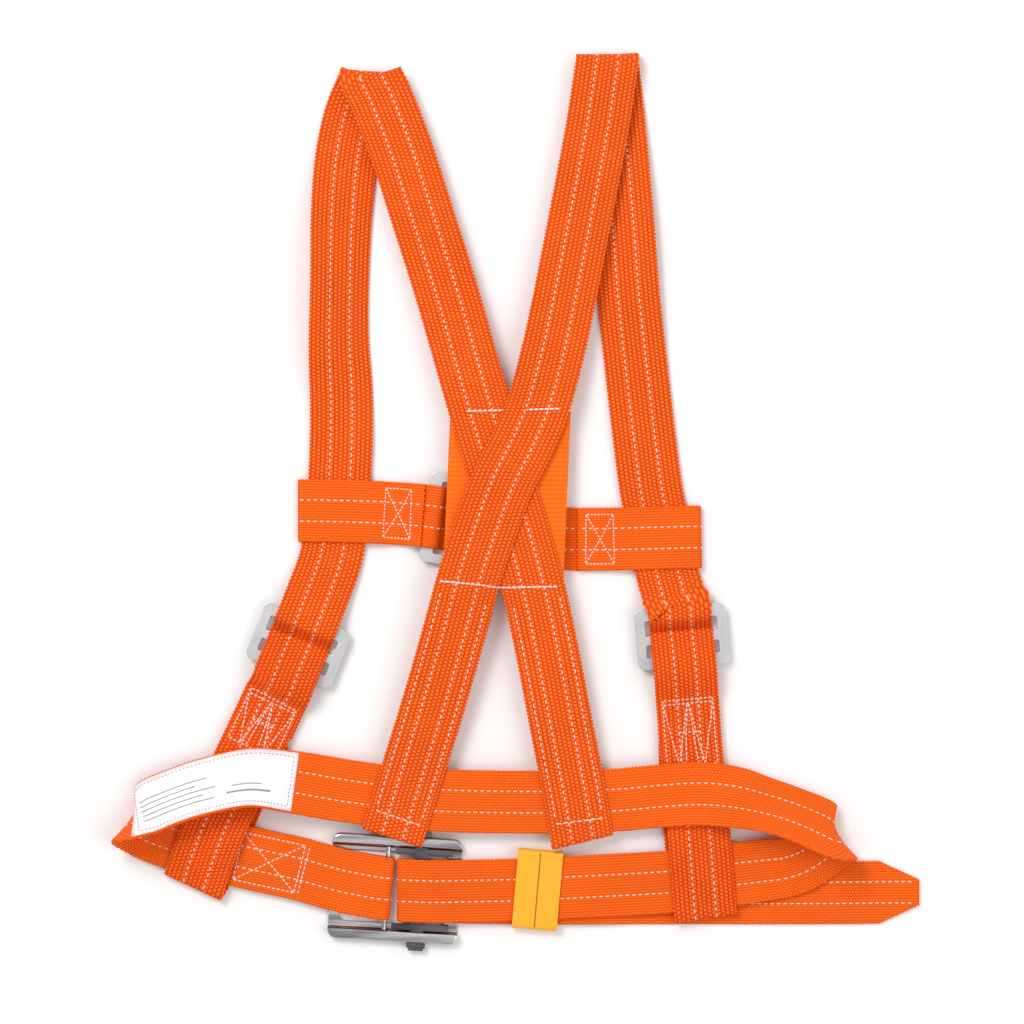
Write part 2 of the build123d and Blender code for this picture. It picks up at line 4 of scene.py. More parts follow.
import bpy
import numpy as np
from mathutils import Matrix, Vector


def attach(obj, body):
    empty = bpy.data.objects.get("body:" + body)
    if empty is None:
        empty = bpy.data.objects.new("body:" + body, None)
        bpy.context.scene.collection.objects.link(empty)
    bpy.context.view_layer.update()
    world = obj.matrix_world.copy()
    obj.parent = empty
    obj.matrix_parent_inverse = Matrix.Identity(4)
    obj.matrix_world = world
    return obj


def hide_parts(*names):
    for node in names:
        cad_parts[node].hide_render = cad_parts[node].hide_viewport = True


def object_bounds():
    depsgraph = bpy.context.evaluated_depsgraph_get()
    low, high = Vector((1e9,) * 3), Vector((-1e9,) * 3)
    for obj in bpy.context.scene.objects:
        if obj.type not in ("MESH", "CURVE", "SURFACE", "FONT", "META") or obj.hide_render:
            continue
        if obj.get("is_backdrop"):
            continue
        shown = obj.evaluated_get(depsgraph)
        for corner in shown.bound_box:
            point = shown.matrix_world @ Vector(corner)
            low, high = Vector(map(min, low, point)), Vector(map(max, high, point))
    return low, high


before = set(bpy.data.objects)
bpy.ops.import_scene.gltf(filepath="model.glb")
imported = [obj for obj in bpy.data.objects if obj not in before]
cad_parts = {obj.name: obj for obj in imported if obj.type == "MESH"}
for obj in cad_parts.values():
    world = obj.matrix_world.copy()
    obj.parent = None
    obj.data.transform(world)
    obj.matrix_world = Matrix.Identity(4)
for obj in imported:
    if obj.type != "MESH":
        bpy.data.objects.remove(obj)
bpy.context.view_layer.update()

# Sizes and places in millimetres and degrees; ORIGIN is where the row frame's zero lies in the CAD
MM = 0.001
ORIGIN = (-0.63, -0.32)
WEB_WIDTH = 44.0
WEB_THICK = 2.0
SELVEDGE_BUMP = 0.22
FLOOR_LAYER = 0.15 + WEB_THICK / 2
LEFT_ADJUSTER = (-153.6, -100.4)
LEFT_ADJUSTER_HEADING = 68.5
RIGHT_ADJUSTER = (115.1, -94.5)
RIGHT_ADJUSTER_HEADING = 95.0
CHEST_ADJUSTER = (-43.5, -13.0)
CHEST_ADJUSTER_HEADING = 172.0
YARN_PITCH = 2.6
STITCH_PITCH = 4.6
STITCH_DASH = 3.1
ROW_OFFSET = 7.5
DOUBLE_ROW_OFFSET = 16.5
JOINT_HALF = 17.5
SHOULDER_TOP = 11.5
TAIL_TIP_LENGTH = 28.0
TAIL_TIP_WIDTH = 18.0
PAD_WIDTH = 84.0
PAD_LENGTH = 124.0
PAD_THICK = 3.0
PAD_BASE = 12.5
PAD_CENTRE = (-7.5, 2.5)
PAD_TURN = -2.5
PAD_RIB_PITCH = 3.2
LABEL_WIDTH = 41.0
LABEL_THICK = 0.35
MARK_THICK = 0.06
BUCKLE_CENTRE = (-86.0, -271.2)
BUCKLE_TURN = -3.5
BUCKLE_LENGTH = 91.0
BUCKLE_PLATE_WIDTH = 57.5
BUCKLE_PLATE_THICK = 1.6
BUCKLE_PLATE_HEIGHT = 0.9
FLANGE_OFFSET = 30.0
FLANGE_HALF_THICK = 0.72
LIP_START = 30.7
LIP_CORNER_START = 40.5
LIP_CORNER_LENGTH = 5.02
KEEPER_CENTRE = (14.0, -272.0)
KEEPER_TURN = -5.0
KEEPER_TOP = 8.58
CAMERA_PLACE = (-0.00322, -0.00703, 1.999)


# Webbing stations (x, y, z, side, lift), the same as the CAD part's. side is the direction of the
# webbing's width seen from above, and lift how far that direction rises out of the flat.
def lace(place, heading, profile, side_turn=0.0):
    """Stations in an adjuster's own frame: profile holds (along, height)."""
    a = math.radians(heading)
    return [
        (
            place[0] + u * math.cos(a),
            place[1] + u * math.sin(a),
            z,
            heading - 90 + side_turn,
            0,
        )
        for u, z in profile
    ]


def half_turn(x, y, z_in, z_out, heading, side, lift=0.0, side_out=None):
    """Stations round the end of a fold that arrives at height z_in and leaves at z_out."""
    radius = abs(z_out - z_in) / 2
    middle = (z_in + z_out) / 2
    rise = 1 if z_out > z_in else -1
    a = math.radians(heading)
    leave = side if side_out is None else side_out
    out = []
    for k, angle in enumerate((-60, -20, 20, 60)):
        b = math.radians(angle)
        reach = radius * math.cos(b)
        share = (k + 0.5) / 4
        out.append(
            (
                x + reach * math.cos(a),
                y + reach * math.sin(a),
                middle + rise * radius * math.sin(b),
                side + (leave - side) * share,
                lift * math.cos(b),
            )
        )
    return out


# Shoulder straps: height profile through a side adjuster, from the free tail upwards
STRAP_LACE = [
    (-22.5, 10.0),
    (-19.5, 10.1),
    (-16.5, 10.1),
    (-13.8, 9.7),
    (-12.2, 8.3),
    (-11.0, 6.1),
    (-9.8, 3.9),
    (-8.3, 2.1),
    (-6.0, FLOOR_LAYER),
    (-1.2, FLOOR_LAYER),
    (3.8, FLOOR_LAYER),
    (6.6, 2.3),
    (8.4, 4.1),
    (9.9, 6.1),
    (11.4, 8.3),
    (13.4, 9.8),
    (16.0, 10.2),
    (22.5, 10.2),
]
# A side strap round the centre bar, from its second layer over the bar to its near layer
LOOP_LACE = [
    (-33, 9.4),
    (-24, 12.2),
    (-14.8, 12.3),
    (-11.0, 10.8),
    (-8.0, 9.0),
    (-6.3, 7.4),
    (-5.9, 6.1),
    (-5.5, 4.6),
    (-4.1, 3.45),
    (-1.2, 3.35),
    (1.8, 3.45),
    (3.2, 4.6),
    (3.5, 6.1),
    (3.1, 7.6),
    (1.6, 8.7),
    (-1.2, 8.9),
    (-4.0, 9.6),
    (-7.0, 11.0),
    (-10.5, 13.1),
    (-14.8, 14.5),
    (-24, 14.5),
    (-33, 11.8),
]

left_front = lace(LEFT_ADJUSTER, LEFT_ADJUSTER_HEADING, STRAP_LACE) + [
    (-139.0, -62.5, 5.6, -20, 0),
    (-132.4, -44.5, 3.5, -14, 0),
    (-128.6, -28.0, 3.3, -7, 0),
    (-126.0, -6.0, 3.3, -4, 0),
    (-124.6, 20.0, 3.3, -2, 0),
    (-123.6, 45.0, 3.3, 0, 0),
    (-123.6, 75.0, 3.6, 1, -6),
    (-125.0, 111.0, 9.4, 1, -21),
    (-124.4, 154.0, 10.8, -2, -25),
    (-123.2, 200.0, 8.2, -4, -17),
    (-120.0, 240.0, 3.4, -8, -5),
    (-114.0, 270.0, 1.6, -12, 0),
    (-106.8, 288.0, 1.6, -12, 1),
]
left_back = half_turn(-103.0, 295.5, 1.6, SHOULDER_TOP, 84, -9, 8, 1) + [
    (-100.6, 292.5, SHOULDER_TOP, 8, 3),
    (-95.0, 281.0, 11.6, 14, 0),
    (-81.5, 246.0, 12.0, 17, 0),
    (-66.6, 200.0, 12.4, 17.5, 0),
    (-48.6, 143.0, 13.0, 18, 0),
    (-35.4, 97.0, 15.0, 18, 0),
    (-26.4, 66.0, 16.7, 17, 0),
    (-16.0, 32.0, 16.8, 16.5, 0),
    (-6.0, 0.0, 16.8, 15.5, 0),
    (4.0, -34.0, 16.8, 14.5, 0),
    (12.4, -66.0, 16.8, 12, 0),
    (20.8, -105.0, 15.8, 11, 0),
    (29.4, -150.0, 14.4, 11, 0),
    (35.8, -183.0, 13.1, 12, 0),
    (40.6, -208.0, 12.9, 13, 0),
    (44.2, -230.0, 12.9, 14, 0),
]
left_return = half_turn(45.0, -235.2, 12.9, 8.3, -79, 14) + [
    (44.2, -230.0, 8.3, 13, 0),
    (40.6, -208.0, 8.3, 13, 0),
    (35.4, -180.0, 8.5, 12, 0),
    (30.0, -153.0, 12.0, 11, 0),
    (20.8, -105.0, 13.6, 11, 0),
    (13.3, -69.5, 14.4, 12, 0),
]

right_front = lace(RIGHT_ADJUSTER, RIGHT_ADJUSTER_HEADING, STRAP_LACE, 0.5) + [
    (109.4, -67.0, 8.6, 7, 0),
    (107.8, -60.0, 5.9, 10, 0),
    (105.8, -53.0, 3.5, 11, 0),
    (100.2, -28.0, 3.35, 10, 0),
    (96.0, -4.0, 3.3, 8, 0),
    (92.6, 16.0, 3.3, 7, 0),
    (87.6, 56.0, 3.0, 6, 0),
    (82.9, 98.0, 2.4, 6, 3),
    (78.0, 143.0, 4.4, 5, 8),
    (74.4, 190.0, 5.2, 5, 10),
    (70.8, 232.0, 4.0, 5, 7),
    (66.6, 276.0, 2.0, 6, 2),
    (63.8, 302.0, 1.6, 6, 0),
]
right_back = half_turn(63.2, 307.5, 1.6, SHOULDER_TOP, 93, 4, -6, 0) + [
    (62.6, 306.5, SHOULDER_TOP, -3, -2),
    (60.4, 292.0, 11.6, -7, 0),
    (55.8, 262.0, 12.0, -10, 0),
    (47.6, 218.0, 12.4, -11.5, 0),
    (32.6, 141.0, 14.0, -12, 0),
    (23.6, 100.0, 16.2, -14, 0),
    (14.0, 66.0, 18.8, -19, 0),
    (3.0, 40.0, 19.1, -23, 0),
    (-10.5, 12.5, 19.1, -23.5, 0),
    (-24.0, -24.0, 19.1, -20, 0),
    (-34.2, -55.0, 19.1, -17, 0),
    (-45.2, -95.0, 17.6, -15.5, 0),
    (-58.2, -140.0, 15.2, -15.5, 0),
    (-70.6, -180.0, 13.2, -16, 0),
    (-79.4, -208.0, 12.9, -17, 0),
    (-85.6, -228.0, 12.9, -18, 0),
]
right_return = half_turn(-87.0, -232.4, 12.9, 8.3, -107, -18) + [
    (-85.6, -228.0, 8.3, -17, 0),
    (-79.4, -208.0, 8.3, -17, 0),
    (-69.6, -177.0, 8.3, -16, 0),
    (-59.6, -145.0, 12.2, -15.5, 0),
    (-45.2, -95.0, 15.3, -15.5, 0),
    (-38.6, -72.0, 16.1, -16.5, 0),
]

# Side straps: down from the adjuster, round the waist belt and back to the stitched joint
right_side = [
    (120.9, -163.0, 3.4, 2, 0),
    (120.0, -150.0, 3.4, 3, 0),
    (119.0, -139.5, 4.4, 5, 0),
] + lace(RIGHT_ADJUSTER, RIGHT_ADJUSTER_HEADING, LOOP_LACE) + [
    (119.0, -139.5, 6.8, 5, 0),
    (120.0, -150.0, 5.7, 3, 0),
    (121.0, -166.0, 5.7, 2, 0),
    (123.0, -186.0, 6.2, 3, 0),
    (125.4, -209.0, 7.0, 4, 0),
    (127.6, -238.0, 8.0, 5, 0),
    (129.8, -265.0, 8.0, 6, 0),
    (131.2, -284.0, 8.0, 7, 0),
] + half_turn(131.8, -289.0, 8.0, 3.4, -82, 8, 0, 10) + [
    (130.8, -282.0, 3.4, 10, 0),
    (127.8, -262.0, 3.4, 8, 0),
    (124.6, -232.0, 3.4, 6, 0),
    (122.4, -206.0, 3.4, 4, 0),
    (121.3, -185.0, 3.4, 2, 0),
    (120.9, -168.0, 3.4, 2, 0),
]

left_side = [
    (-178.6, -158.0, 3.4, -25, 0),
    (-173.8, -147.5, 3.4, -24, 0),
    (-169.0, -137.5, 4.4, -22.5, 0),
] + lace(LEFT_ADJUSTER, LEFT_ADJUSTER_HEADING, LOOP_LACE) + [
    (-170.0, -137.5, 6.8, -22.5, 0),
    (-174.8, -147.5, 5.7, -24, 0),
    (-183.0, -165.0, 5.7, -25, 0),
    (-193.0, -186.0, 7.2, -25, 0),
    (-202.2, -206.0, 10.4, -24, 0),
    (-211.6, -227.0, 12.6, -23, 0),
    (-219.0, -246.0, 10.8, -22, 0),
    (-224.6, -262.0, 8.2, -24, 0),
] + half_turn(-226.2, -266.8, 8.0, 1.6, -113, -25, 0) + [
    (-221.8, -260.0, 1.3, -24, 0),
    (-212.0, -238.0, 1.3, -23, 0),
    (-201.0, -211.0, 1.6, -24, 0),
    (-189.0, -184.0, 3.0, -25, 0),
    (-181.0, -164.0, 3.4, -25, 0),
]

# Chest strap: a loop round each front strap, joined by the chest adjuster
CHEST_LEFT_END = -154.3
CHEST_RIGHT_END = 129.4
chest_left = [
    (-65.8, -9.8, 11.1, 93, 0),
    (-71.5, -9.3, 9.0, 93, 0),
    (-78.5, -8.8, 4.8, 93, 0),
    (-84.0, -8.4, 3.35, 93, 0),
    (-91.0, -8.0, 3.5, 92, 0),
    (-99.0, -7.5, 5.6, 92, 0),
    (-122.0, -6.8, 5.6, 91, 0),
    (-146.0, -6.4, 5.6, 90, 0),
] + half_turn(CHEST_LEFT_END + 3.4, -6.4, 5.6, FLOOR_LAYER, 180, 90) + [
    (-146.0, -6.4, FLOOR_LAYER, 90, 0),
    (-122.0, -6.8, FLOOR_LAYER, 91, 0),
    (-95.0, -7.8, FLOOR_LAYER, 92, 0),
    (-83.0, -8.5, 1.2, 93, 0),
    (-77.0, -8.9, 2.7, 93, 0),
    (-71.0, -9.4, 6.6, 94, 0),
    (-66.5, -9.9, 8.6, 94, 0),
] + lace(
    CHEST_ADJUSTER,
    CHEST_ADJUSTER_HEADING,
    [
        (19.0, 9.1),
        (14.5, 9.0),
        (11.8, 8.1),
        (10.0, 6.0),
        (8.4, 3.6),
        (6.6, 1.8),
        (4.0, FLOOR_LAYER),
        (-1.2, FLOOR_LAYER),
        (-5.2, 1.4),
        (-7.2, 3.2),
        (-8.2, 5.4),
        (-9.2, 7.9),
        (-11.4, 10.3),
        (-15.0, 11.1),
        (-30.0, 10.6),
    ],
)
chest_right = [
    (42.0, -26.4, 3.35, 88, 0),
    (46.0, -26.4, 3.35, 89, 0),
    (59.0, -26.5, 3.35, 90, 0),
    (64.0, -26.4, 3.7, 91, 0),
    (72.0, -26.2, 5.6, 91, 0),
    (96.0, -25.6, 5.6, 91, 0),
    (120.0, -25.0, 5.6, 91, 0),
] + half_turn(CHEST_RIGHT_END - 3.4, -24.9, 5.6, FLOOR_LAYER, 0, 91) + [
    (120.0, -25.0, FLOOR_LAYER, 91, 0),
    (96.0, -25.6, FLOOR_LAYER, 91, 0),
    (62.0, -26.4, FLOOR_LAYER, 90, 0),
    (38.0, -26.4, FLOOR_LAYER, 88, 0),
    (14.0, -23.6, FLOOR_LAYER, 84, 0),
] + lace(
    CHEST_ADJUSTER,
    CHEST_ADJUSTER_HEADING,
    [
        (-36.0, FLOOR_LAYER),
        (-27.0, FLOOR_LAYER),
        (-21.0, FLOOR_LAYER),
        (-14.6, FLOOR_LAYER),
        (-12.6, 2.2),
        (-11.7, 4.9),
        (-12.6, 7.4),
        (-15.0, 8.6),
        (-21.0, 8.7),
        (-27.0, 7.4),
        (-34.0, 3.8),
        (-42.0, 3.35),
    ],
)

# Waist belt, from the stitched end behind the buckle round the back to the free tail
belt_left = [
    (-197.0, -247.2, 3.6, 77, 0),
    (-180.2, -251.6, 3.4, 77.5, 0),
    (-152.9, -257.6, 3.4, 77.5, 0),
    (-126.0, -265.0, 3.4, 79, 0),
    (-112.0, -267.8, 2.6, 81, 0),
    (-97.0, -270.4, 2.0, 84, 0),
] + half_turn(-92.2, -270.9, 2.0, 9.0, -5, 85) + [
    (-97.0, -270.4, 9.0, 84, 0),
    (-112.0, -267.8, 8.0, 81, 0),
    (-126.0, -265.0, 6.6, 79, 0),
    (-152.9, -257.6, 5.7, 77.5, 0),
    (-180.2, -251.6, 5.8, 77, 1),
    (-204.0, -246.2, 6.2, 76, 4),
    (-222.0, -242.0, 6.8, 72, 7),
    (-239.0, -237.2, 7.2, 68, 8),
    (-254.5, -231.6, 8.2, 61, 8),
    (-264.6, -225.8, 9.8, 59, 5),
]
belt_back = [
    (-268.4, -222.0, 13.6, 59, -3),
    (-266.2, -218.6, 18.0, 62, -11),
    (-257.0, -212.6, 21.0, 69, -20),
    (-239.8, -205.4, 21.6, 79, -29),
    (-219.4, -198.8, 20.4, 88, -30),
    (-186.5, -192.3, 18.4, 88, -25),
    (-155.0, -196.0, 14.6, 84, -14),
    (-130.0, -200.6, 11.3, 81, -4),
    (-112.0, -203.4, 10.6, 82, 0),
    (-93.4, -205.8, 10.6, 84, 0),
    (-54.2, -208.9, 10.6, 88, 0),
    (-12.2, -210.0, 10.6, 90, 0),
    (29.7, -210.0, 10.6, 91, 0),
    (69.6, -208.6, 10.6, 93, 0),
    (100.4, -205.8, 11.0, 94, -2),
    (127.7, -204.2, 12.4, 90, -6),
    (150.0, -206.0, 15.6, 83, -18),
    (170.1, -210.4, 18.8, 79, -34),
    (188.0, -215.6, 20.4, 78, -38),
    (203.0, -221.4, 20.8, 84, -36),
    (213.0, -226.0, 20.6, 96, -30),
    (220.0, -230.2, 18.8, 110, -18),
    (222.8, -232.4, 14.8, 120, -6),
]
belt_right = [
    (222.2, -234.2, 11.2, 121, 4),
    (217.4, -238.8, 9.8, 117, 10),
    (208.6, -246.0, 9.6, 111, 14),
    (199.0, -252.0, 9.2, 105, 13),
    (186.9, -256.4, 7.8, 101, 11),
    (172.0, -258.6, 6.3, 98, 4),
    (158.0, -260.4, 5.7, 95, 0),
    (142.0, -262.4, 5.7, 94, 0),
    (127.7, -264.2, 5.7, 93, 0),
    (103.2, -266.8, 5.7, 92.5, 0),
    (71.8, -268.6, 5.6, 92, 0),
    (33.2, -270.6, 5.6, 92, 0),
    (0.3, -272.2, 5.6, 91.5, 0),
    (-36.8, -273.0, 6.0, 90.5, 0),
    (-52.0, -273.1, 7.6, 90, 0),
    (-62.0, -272.9, 9.2, 90, 0),
    (-74.0, -272.4, 9.4, 90, 0),
]
belt_tail = half_turn(-79.9, -272.2, 9.4, 1.8, 180, 90) + [
    (-74.0, -272.4, 1.6, 90, 0),
    (-62.0, -272.8, FLOOR_LAYER, 90, 0),
    (-55.0, -273.2, 1.3, 90, 0),
    (-46.0, -273.8, 3.1, 90, 0),
    (-36.8, -274.2, 3.2, 90, 0),
    (0.3, -274.6, 3.0, 90, 0),
    (33.2, -274.8, 2.9, 90, 0),
    (60.0, -274.8, 2.6, 90, 0),
    (82.0, -274.8, FLOOR_LAYER, 90, 0),
    (103.2, -274.8, FLOOR_LAYER, 90, 0),
    (155.8, -274.8, FLOOR_LAYER, 90, 0),
    (197.8, -274.8, FLOOR_LAYER, 90, 0),
    (236.0, -274.6, FLOOR_LAYER, 90, 0),
    (254.0, -274.4, FLOOR_LAYER, 90, 0),
]


# Bands and meshes
def spread(values, steps):
    """Catmull-Rom values between stations."""
    p = np.vstack([values[:1], values, values[-1:]])
    t = np.linspace(0, 1, steps, endpoint=False)[:, None, None]
    p0, p1, p2, p3 = p[:-3], p[1:-2], p[2:-1], p[3:]
    out = (
        2 * p1
        + (p2 - p0) * t
        + (2 * p0 - 5 * p1 + 4 * p2 - p3) * t**2
        + (3 * p1 - p0 - 3 * p2 + p3) * t**3
    ) / 2
    out = out.transpose(1, 0, 2).reshape(-1, values.shape[1])
    return np.vstack([out, values[-1:]])


def unit(v):
    return v / np.linalg.norm(v, axis=1)[:, None]


class Band:
    """A webbing's middle line with its width and face directions, sampled at even steps."""

    def __init__(self, run, spacing=YARN_PITCH / 2):
        run = np.array(run, dtype=float)
        turn, lift = np.radians(run[:, 3]), np.radians(run[:, 4])
        side = np.stack(
            [np.cos(turn) * np.cos(lift), np.sin(turn) * np.cos(lift), np.sin(lift)], axis=1
        )
        dense = spread(np.hstack([run[:, :3], side]), 24)
        along = np.cumsum(np.linalg.norm(np.diff(dense[:, :3], axis=0), axis=1))
        along = np.concatenate([[0], along])
        count = int(round(along[-1] / spacing)) + 1
        self.u = np.linspace(0, along[-1], count)
        even = np.stack([np.interp(self.u, along, dense[:, k]) for k in range(6)], axis=1)
        self.centre = even[:, :3] - np.array([ORIGIN[0], ORIGIN[1], 0])
        tangent = unit(np.gradient(self.centre, axis=0))
        side = even[:, 3:]
        side = side - tangent * np.sum(side * tangent, axis=1)[:, None]
        self.side = unit(side)
        self.normal = np.cross(self.side, tangent)
        self.tangent = tangent

    def place(self, u, v, w):
        """Points in millimetres at u along, v across and w above the middle."""
        out = np.zeros((len(u), 3))
        for k in range(3):
            out[:, k] = (
                np.interp(u, self.u, self.centre[:, k])
                + v * np.interp(u, self.u, self.side[:, k])
                + w * np.interp(u, self.u, self.normal[:, k])
            )
        return out

    def find(self, x, y, z):
        """How far along the band its point nearest to a CAD point lies."""
        point = np.array([x - ORIGIN[0], y - ORIGIN[1], z])
        gap = point - self.centre
        along = np.abs(np.sum(gap * self.tangent, axis=1))
        across = np.abs(np.sum(gap * self.side, axis=1))
        rise = np.abs(np.sum(gap * self.normal, axis=1))
        return self.u[int(np.argmin(along + 2 * rise + np.maximum(0, across - WEB_WIDTH / 2)))]


def turned(x, y, centre, degrees):
    """Places in the row frame of points turned about their own middle and moved to a CAD centre."""
    turn = math.radians(degrees)
    return (
        centre[0] - ORIGIN[0] + x * math.cos(turn) - y * math.sin(turn),
        centre[1] - ORIGIN[1] + x * math.sin(turn) + y * math.cos(turn),
    )


def new_object(name, verts, faces, uvs=None):
    """A mesh object from points in millimetres; uvs holds one (u, v) per vertex."""
    mesh = bpy.data.meshes.new(name)
    mesh.from_pydata((np.asarray(verts) * MM).tolist(), [], faces)
    mesh.polygons.foreach_set("use_smooth", [True] * len(mesh.polygons))
    if uvs is not None:
        layer = mesh.uv_layers.new(name="Weave")
        loops = np.zeros(len(mesh.loops), dtype=int)
        mesh.loops.foreach_get("vertex_index", loops)
        layer.data.foreach_set("uv", np.asarray(uvs)[loops].ravel())
    mesh.update()
    obj = bpy.data.objects.new(name, mesh)
    bpy.context.scene.collection.objects.link(obj)
    return obj


def tube_faces(rings, points, first=0):
    """Quads between closed rings of points, and the two end caps."""
    faces = []
    for i in range(rings - 1):
        a = first + i * points
        for k in range(points):
            n = (k + 1) % points
            faces.append((a + k, a + n, a + points + n, a + points + k))
    last = first + (rings - 1) * points
    faces.append(tuple(first + k for k in reversed(range(points))))
    faces.append(tuple(last + k for k in range(points)))
    return faces


def slab_faces(columns, rows):
    """Quads of two equal grids of points, one above the other, closed round the rim."""
    size = columns * rows
    faces = []
    for first in (0, size):
        for j in range(rows - 1):
            for i in range(columns - 1):
                a = first + j * columns + i
                quad = (a, a + 1, a + columns + 1, a + columns)
                faces.append(quad if first == 0 else quad[::-1])
    rim = list(range(columns))
    rim += [j * columns + columns - 1 for j in range(1, rows)]
    rim += [size - columns + i for i in range(columns - 2, -1, -1)]
    rim += [j * columns for j in range(rows - 2, 0, -1)]
    for a, b in zip(rim, rim[1:] + rim[:1]):
        faces.append((a, a + size, b + size, b))
    return faces


def band_profile():
    """Closed section of a webbing (across, height) with soft edges, top side first."""
    half, up = WEB_WIDTH / 2, WEB_THICK / 2
    edge = [(half - 0.9, 0.97), (half - 0.3, 0.72), (half, 0.0)]
    top = [(v, 1.0) for v in np.linspace(-half + 2.2, half - 2.2, 9)]
    right = edge + [(v, -h) for v, h in reversed(edge[:2])]
    left = [(-v, -h) for v, h in edge] + [(-v, h) for v, h in reversed(edge[:2])]
    bottom = [(-v, -1.0) for v, _ in top]
    return np.array([(v, h * up) for v, h in top + right + bottom + left])


def webbing(name, band, tip=0.0):
    """A webbing mesh along a band, with small bumps on its selvedges and, if asked, a trimmed tip."""
    profile = band_profile()
    count, points = len(band.u), len(profile)
    scale = np.ones(count)
    if tip:
        narrow = TAIL_TIP_WIDTH / WEB_WIDTH
        scale = narrow + (1 - narrow) * np.clip((band.u[-1] - band.u) / tip, 0, 1)
    outer = np.abs(profile[:, 0]) > WEB_WIDTH / 2 - 0.5
    verts, uvs = [], []
    for i in range(count):
        bump = SELVEDGE_BUMP * (1 if i % 2 else -1)
        v = profile[:, 0] * scale[i] + np.where(outer, np.sign(profile[:, 0]) * bump, 0)
        verts.append(
            band.centre[i] + v[:, None] * band.side[i] + profile[:, 1:2] * band.normal[i]
        )
        uvs.append(np.stack([np.full(points, band.u[i]), v], axis=1) * MM * 10)
    return new_object(name, np.vstack(verts), tube_faces(count, points), np.vstack(uvs))


class Thread:
    """Collects stitches, each a short flattened run of thread."""

    SHARES = np.array([0.0, 0.14, 0.5, 0.86, 1.0])
    SIZES = np.array([0.35, 0.9, 1.0, 0.9, 0.35])
    SINK = np.array([-0.35, -0.02, 0.0, -0.02, -0.35])

    def __init__(self):
        self.verts = []
        self.faces = []

    def add(self, line, cross, up):
        """One stitch along a line of points, with its half width and half height as directions."""
        first = len(self.verts)
        for k, size in enumerate(self.SIZES):
            for angle in np.radians([0, 60, 120, 180, 240, 300]):
                ring = cross[k] * math.cos(angle) + up[k] * math.sin(angle)
                self.verts.append(line[k] + ring * size)
        self.faces += tube_faces(len(self.SIZES), 6, first)

    def stitch(self, band, a, b, face, wide=0.46, high=0.28, rest=WEB_THICK / 2):
        """One stitch from (u, v) a to b on the band's face."""
        u = a[0] + (b[0] - a[0]) * self.SHARES
        v = a[1] + (b[1] - a[1]) * self.SHARES
        line = band.place(u, v, face * (rest + self.SINK))
        up = band.place(u, v, face * (rest + self.SINK + 1)) - line
        cross = unit(np.cross(np.gradient(line, axis=0), up))
        self.add(line, cross * wide, up * high)

    def row(self, band, start, stop, v):
        """A row of stitches along both faces of a band at one place across it."""
        u = start
        while u + STITCH_DASH < stop:
            for face in (1, -1):
                self.stitch(band, (u, v), (u + STITCH_DASH, v), face)
            u += STITCH_PITCH

    def path(self, band, corners, dash=2.6, pitch=3.3, gap=0.08, closed=False, faces=(1, -1), **look):
        """Stitches from corner to corner of a path of (u, v) points."""
        if closed:
            corners = corners + corners[:1]
        for a, b in zip(corners, corners[1:]):
            count = max(1, round(math.dist(a, b) / pitch))
            a, step = np.array(a), np.array(b) - np.array(a)
            for k in range(count):
                low = a + step * (k + gap) / count
                high = a + step * (k + gap + dash / pitch) / count
                for face in faces:
                    self.stitch(band, low, high, face, **look)

    def build(self, name, material, body):
        return finish_piece(new_object(name, self.verts, self.faces), material, body)


def finish_piece(obj, material, body, *replaced):
    """Gives a piece its material, the body it rides on and the CAD nodes it stands for."""
    obj.data.materials.append(material)
    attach(obj, body)
    if replaced:
        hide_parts(*replaced)
    return obj


